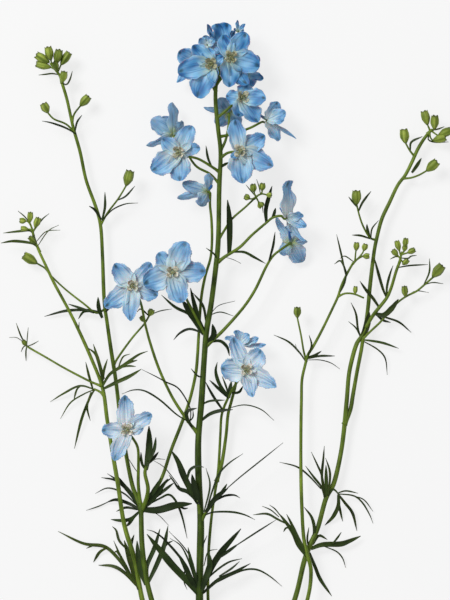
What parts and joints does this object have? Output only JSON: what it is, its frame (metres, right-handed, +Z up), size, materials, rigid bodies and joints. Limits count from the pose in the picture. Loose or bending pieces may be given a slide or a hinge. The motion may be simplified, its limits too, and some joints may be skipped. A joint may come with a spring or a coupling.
{
  "type": "delphinium plant",
  "caption": "Flowering plant cut at the base and laid flat: slender branching stems with open light-blue flowers, bud sprays and narrow-lobed leaves on a short woody crown.",
  "frame": {"origin": "middle of the lying plant's extents, on the surface it lies on", "axes": "+Y from the crown towards the flowering tips, +X to the right in the picture, +Z up, towards the camera"},
  "size_m": [0.362, 0.613, 0.039],
  "materials": {
    "woody_crown": "dull, fibrous",
    "stem_and_leaf": "satin green stem and leaf",
    "light_stem": "satin light green stem and leaf",
    "bud": "satin yellow-green bud",
    "sepal": "soft matte petal, light blue",
    "flower_centre": "soft matte, cream white"
  },
  "bodies": {
    "root": {"crown": "woody_crown", "stem_left_outer": "light_stem", "stem_left_inner": "stem_and_leaf", "stem_centre": "stem_and_leaf", "stem_centre_pair": "stem_and_leaf", "stem_right_tall": "stem_and_leaf", "stem_right_thin": "stem_and_leaf", "spray_top_left": "bud", "spray_left": "bud", "spray_centre": "bud", "spray_right_top": "bud", "spray_right_left": "bud", "spray_right_middle": "bud", "flower_01": "sepal", "flower_02": "sepal", "flower_03": "sepal", "flower_04": "sepal", "flower_05": "sepal", "flower_06": "sepal", "flower_07": "sepal", "flower_08": "sepal", "flower_09": "sepal", "flower_10": "sepal", "flower_11": "sepal", "flower_12": "sepal", "flower_13": "sepal", "flower_14": "sepal", "flower_15": "sepal", "flower_16": "sepal", "flower_17": "sepal", "flower_18": "sepal", "flower_19": "sepal", "flower_20": "sepal", "flower_21": "sepal", "flower_01_centre": "flower_centre", "flower_02_centre": "flower_centre", "flower_06_centre": "flower_centre", "flower_07_centre": "flower_centre", "flower_10_centre": "flower_centre", "flower_16_centre": "flower_centre", "flower_17_centre": "flower_centre", "flower_18_centre": "flower_centre", "flower_19_centre": "flower_centre"}
  },
  "joints": []
}
